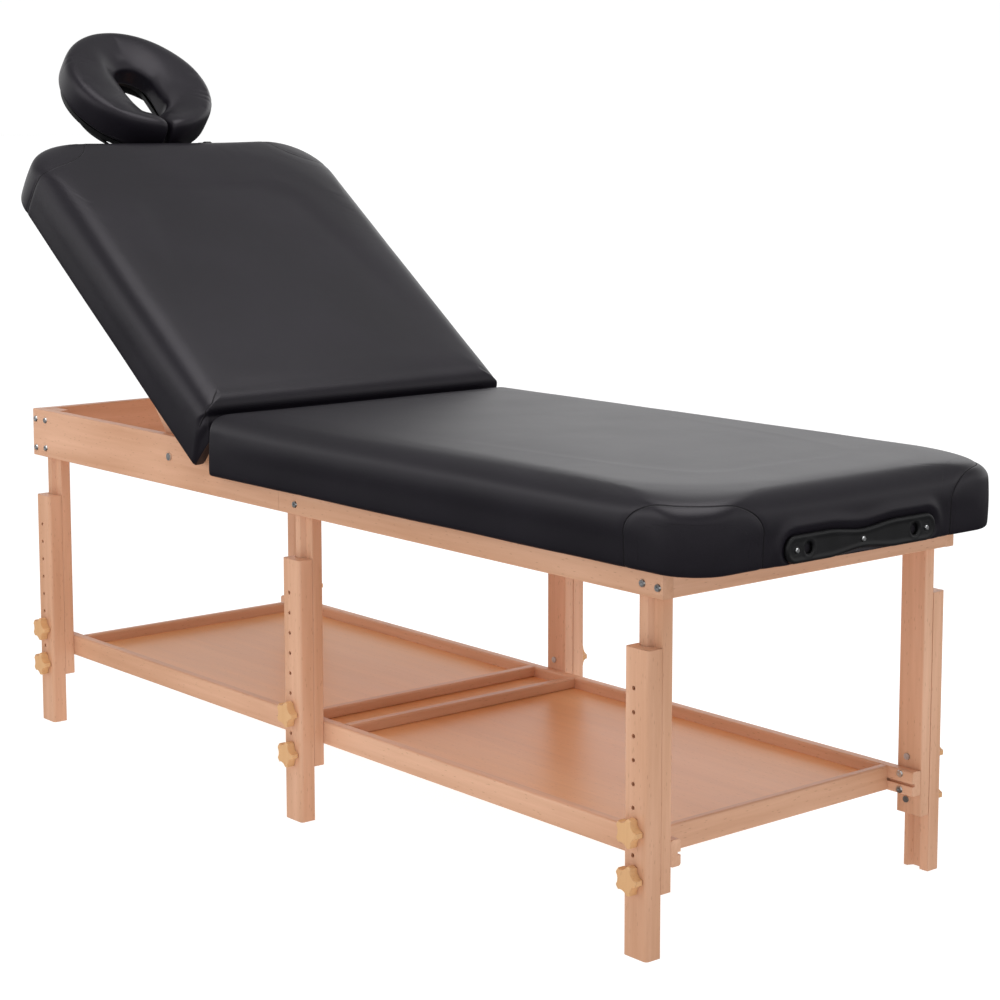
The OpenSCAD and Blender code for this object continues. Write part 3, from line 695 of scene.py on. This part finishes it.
def upholster(pad, start, far, ra, rb, grow, swell_from, seams, place, body):
    """Builds a pad, swells it as cloth, subdivides it, presses it under its plate and sews its seams."""
    me = build_pad(pad, start, far, ra, rb, grow)
    raw = bpy.data.objects.new("raw_" + pad, me)
    puff(raw, free_of(me, swell_from, far), 1.1, 0.004, 8)
    me = subdivided(raw)
    slow_waves(me, 0.11, 0.0005)
    press_plate(me, far)
    add_seams(me, snap(seams(), me))
    piece = finish(me, pad + "_pad", place, body, pad + "_cushion", vinyl_sewn)


# Radii of the pads' far corners, seen from above
R_FAR, R_BACK = 0.075, 0.088
upholster("seat", SEAT_START + SEAT_GAP, SEAT_LEN, 0.016, R_FAR, 0.070, SEAT_START + 0.01,
          seat_seams, seat_place, "frame")
upholster("back", -0.003, BACK_LEN, 0.013, R_BACK, 0.080, 0.03,
          back_seams, back_place, "backrest")


# ---- Face ring -------------------------------------------------------------
# How far the face hole lies off the middle, how deep the face is dished and how high it is crowned
HOLE_BACK, DISH, RING_CROWN = 0.018, 0.024, 0.003
# Powers that square up the ring's section: across it, above its middle and below
ACROSS, ABOVE, BELOW = 0.62, 0.60, 0.30


def ring_inner(a):
    """Distance from the ring's middle to the face hole's edge, at angle a from the far end."""
    low, high = 0.0, RING_R
    for _ in range(40):
        r = (low + high) / 2
        along = max(0.0, abs(r * math.cos(a) + HOLE_BACK) - FACE_LEN / 2)
        if math.hypot(along, r * math.sin(a)) < FACE_R:
            low = r
        else:
            high = r
    return low


def build_ring():
    """The ring as one long pad bent round, with its two rounded ends facing the backrest."""
    na, ns = 150, 44
    end_gap, end_r, mean_r, thick = 0.0022, 0.026, 0.115, RING_T / 2
    bm = bmesh.new()
    loops = []
    for i in range(na + 1):
        t = i / na
        a = -math.pi + 2 * math.pi * t
        inner = ring_inner(a)
        from_end = min(t, 1 - t) * 2 * math.pi * mean_r
        e = min(1.0, from_end / end_r)
        full = 0.04 + 0.96 * math.sqrt(1 - (1 - e) ** 2)
        mid, half = (inner + RING_R) / 2, (RING_R - inner) / 2
        loop = []
        for k in range(ns):
            b = 2 * math.pi * k / ns
            cb, sb = math.cos(b), math.sin(b)
            x = math.copysign(abs(cb) ** ACROSS, cb)
            z = math.copysign(abs(sb) ** (ABOVE if sb > 0 else BELOW), sb)
            r = mid + half * x * (0.80 + 0.20 * full)
            w = thick + thick * z * (0.55 + 0.45 * full)
            if z > 0:
                w += RING_CROWN * (1 - x * x) - DISH * z * ((1 - x) / 2) ** 1.4
            limit = math.pi - end_gap / max(r, 0.05)
            at = min(max(a, -limit), limit)
            loop.append(bm.verts.new((r * math.cos(at), r * math.sin(at), w)))
        loops.append(loop)
    for p, q in zip(loops, loops[1:]):
        for k in range(ns):
            m = (k + 1) % ns
            bm.faces.new((p[k], p[m], q[m], q[k]))
    bm.faces.new(loops[0])
    bm.faces.new(loops[-1][::-1])
    bmesh.ops.recalc_face_normals(bm, faces=bm.faces[:])
    me = bpy.data.meshes.new("face_ring_pad")
    bm.to_mesh(me)
    bm.free()
    return me


def crease(me, marks):
    """Presses short radial creases into the ring's outer shoulder, each at (degrees, depth)."""
    width, inner, low, fade = 1.3, 0.105, 0.03, 0.03
    co, no = points_of(me), normals_of(me)
    around = np.degrees(np.arctan2(co[:, 1], co[:, 0]))
    outer = np.clip((np.hypot(co[:, 0], co[:, 1]) - inner) / fade, 0, 1)
    outer *= np.clip((co[:, 2] - low) / fade, 0, 1)
    for degrees, depth in marks:
        co -= no * (depth * np.exp(-(((around - degrees) / width) ** 2)) * outer)[:, None]
    me.vertices.foreach_set("co", co.astype(np.float32).ravel())


ring_me = build_ring()
raw_ring = bpy.data.objects.new("raw_ring", ring_me)
puff(raw_ring, np.clip((points_of(ring_me)[:, 2] - 0.004) / 0.02, 0, 1), 4.0, 0.003, 18)
ring_me = subdivided(raw_ring)
crease(ring_me, ((108.0, 0.0007), (115.0, 0.0010), (121.5, 0.0008), (-62.0, 0.0005), (-69.0, 0.0006)))
slow_waves(ring_me, 0.05, 0.0007)
ring_pad = finish(ring_me, "face_ring_pad", ring_place, "face_ring", "headrest_cushion", vinyl_plain)


# ---- Socket plates ---------------------------------------------------------
def plate_face(v, w):
    """Height of a socket plate's front: rounded edge, sunk middle, collars, rings round the screws."""
    edge_r, sink, collar, lip, ditch, boss = 0.0042, 0.0009, 0.0007, 0.0010, 0.0006, 0.0009
    deep = plate_inside(v, w)
    round_off = math.sqrt(max(0.0, 1 - max(0.0, 1 - deep / edge_r) ** 2))
    up = PLATE_T * (0.40 + 0.60 * round_off)
    up -= sink * smooth((deep - 0.004) / 0.006)
    mouth = math.hypot(abs(v) - MOUTH_AT, w)
    up += collar * bell(mouth, 0.0128, 0.0016)
    up -= lip * smooth((0.0112 - mouth) / 0.0020)
    screw = min(math.hypot(v - at, w) for at in PLATE_SCREWS)
    up -= ditch * bell(screw, 0.0052, 0.0011)
    up += boss * smooth((0.0046 - screw) / 0.0010)
    return min(up, PLATE_T)


def spread(half, i, count, bend):
    """Place i of count between -half and half, closer together towards the ends."""
    return half * math.sin(math.pi * (i / count - 0.5) * bend) / math.sin(math.pi * bend / 2)


def build_plate(name):
    """Bone-shaped plate: a fine grid between its ends, with two round mouths, and a flat back."""
    columns, rows, cell = 168, 26, 0.0020
    inside, outside = MOUTH_R - cell * 0.75, MOUTH_R + cell * 0.30
    reach, tip = LOBE_AT + LOBE_R, 0.00015
    bm = bmesh.new()
    grids = []
    for front in (True, False):
        grid = []
        for i in range(columns + 1):
            v = max(-reach + tip, min(reach - tip, spread(reach, i, columns, 0.86)))
            line = []
            for j in range(rows + 1):
                w = spread(plate_half(v), j, rows, 0.9)
                side = math.copysign(MOUTH_AT, v)
                far = math.hypot(v - side, w)
                y, z = v, w
                if inside < far < outside:
                    y, z = side + (v - side) * MOUTH_R / far, w * MOUTH_R / far
                vert = bm.verts.new((plate_face(y, z) if front else 0.0, y, z))
                line.append((vert, far < inside))
            grid.append(line)
        grids.append(grid)
    for grid, front in zip(grids, (True, False)):
        for i in range(columns):
            for j in range(rows):
                cells = [grid[i][j], grid[i + 1][j], grid[i + 1][j + 1], grid[i][j + 1]]
                if any(hole for _, hole in cells):
                    continue
                corners = [vert for vert, _ in cells]
                bm.faces.new(corners if front else corners[::-1])
    twin = {}
    for a, b in zip(*grids):
        for (p, _), (q, _) in zip(a, b):
            twin[p] = q
    rim = [e for e in bm.edges if e.is_boundary and e.verts[0] in twin]
    for e in rim:
        p, q = e.verts
        bm.faces.new((p, q, twin[q], twin[p]))
    bmesh.ops.delete(bm, geom=[v for v in bm.verts if not v.link_faces], context="VERTS")
    bmesh.ops.recalc_face_normals(bm, faces=bm.faces[:])
    me = bpy.data.meshes.new(name)
    bm.to_mesh(me)
    bm.free()
    return me


def plate_place(pad_place, far):
    """Puts a plate's own axes on a pad's far end."""
    return lambda p: pad_place((far + PLATE_GAP + p[0], p[1], PLATE_W + p[2]))


def add_plate(pad, pad_place, far, body):
    name, place = pad + "_plate", plate_place(pad_place, far)
    finish(build_plate(name), name, place, body, pad + "_socket_plate", black)


add_plate("seat", seat_place, SEAT_LEN, "frame")
add_plate("back", back_place, BACK_LEN, "backrest")


# ---- Floor, light and camera -----------------------------------------------
FLOOR_R = 90.0
floor_me = bpy.data.meshes.new("floor")
corners = [(x * FLOOR_R, y * FLOOR_R, 0) for x, y in ((-1, -1), (1, -1), (1, 1), (-1, 1))]
floor_me.from_pydata(corners, [], [(0, 1, 2, 3)])
floor = bpy.data.objects.new("floor", floor_me)
white = Mat("floor")
white.feed("Base Color", white.ramp(white.noise(white.coords(), 3.0, 2.0), [(0.3, (0.26,)), (0.7, (0.28,))]))
white.set(Roughness=0.9, Specular_IOR_Level=0.1, Emission_Color=(1, 1, 1, 1), Emission_Strength=0.92)
floor_me.materials.append(white.material)
scene.collection.objects.link(floor)
floor.visible_glossy = False


def aim(obj, at, direction):
    """Places a light or camera, and points it along a direction."""
    scene.collection.objects.link(obj)
    obj.location = at
    obj.rotation_mode = "QUATERNION"
    obj.rotation_quaternion = direction.to_track_quat("-Z", "Y")


def area(name, at, to, size, power):
    light = bpy.data.lights.new(name, "AREA")
    light.shape = "RECTANGLE"
    light.size, light.size_y = size
    light.energy = power
    aim(bpy.data.objects.new(name, light), at, Vector(to) - Vector(at))


area("top", (0.6, -0.2, 3.6), (0.2, 0, 0.6), (3.6, 2.6), 84)
area("front", (-1.5, -3.4, 1.9), (-0.6, 0, 0.8), (2.4, 1.8), 18)
area("foot", (4.2, -0.3, 1.9), (0, 0, 0.5), (2.4, 2.2), 1.5)
area("rear", (-1.8, 3.2, 2.6), (0, 0, 0.7), (2.6, 2.0), 12)
world = bpy.data.worlds.new("world")
scene.world = world
world.use_nodes = True
sky = world.node_tree
around = sky.nodes.new("ShaderNodeTexCoord")
split = sky.nodes.new("ShaderNodeSeparateXYZ")
fade = sky.nodes.new("ShaderNodeValToRGB")
# Brightness of the surroundings, from straight down at 0 over the horizon at 0.5 to straight up at 1
stops = [(0.0, 0.04), (0.46, 0.06), (0.495, 1.0), (0.60, 0.92), (0.75, 0.42), (1.0, 0.42)]
while len(fade.color_ramp.elements) < len(stops):
    fade.color_ramp.elements.new(0.5)
for element, (at, grey) in zip(fade.color_ramp.elements, stops):
    element.position = at
    element.color = (grey, grey, grey, 1)
half = sky.nodes.new("ShaderNodeMath")
half.operation = "MULTIPLY_ADD"
half.inputs[1].default_value = 0.5
half.inputs[2].default_value = 0.5
sky.links.new(around.outputs["Generated"], split.inputs["Vector"])
sky.links.new(split.outputs["Z"], half.inputs[0])
sky.links.new(half.outputs[0], fade.inputs["Fac"])
sky.links.new(fade.outputs["Color"], sky.nodes["Background"].inputs["Color"])
sky.nodes["Background"].inputs["Strength"].default_value = 1.03

# The photo's viewpoint, worked out from the directions of the frame's straight edges
cam_data = bpy.data.cameras.new("camera")
cam_data.sensor_width = 36.0
cam_data.lens = 2.30984 * cam_data.sensor_width
cam_data.shift_x, cam_data.shift_y = -0.015, -0.10
cam_data.clip_end = 300.0
heading, pitch = 0.86877, 0.12549
look = Vector((-math.sin(heading) * math.cos(pitch), math.cos(heading) * math.cos(pitch), -math.sin(pitch)))
scene.camera = bpy.data.objects.new("camera", cam_data)
aim(scene.camera, (MID + 3.23716, -2.56054, 1.23296), look)
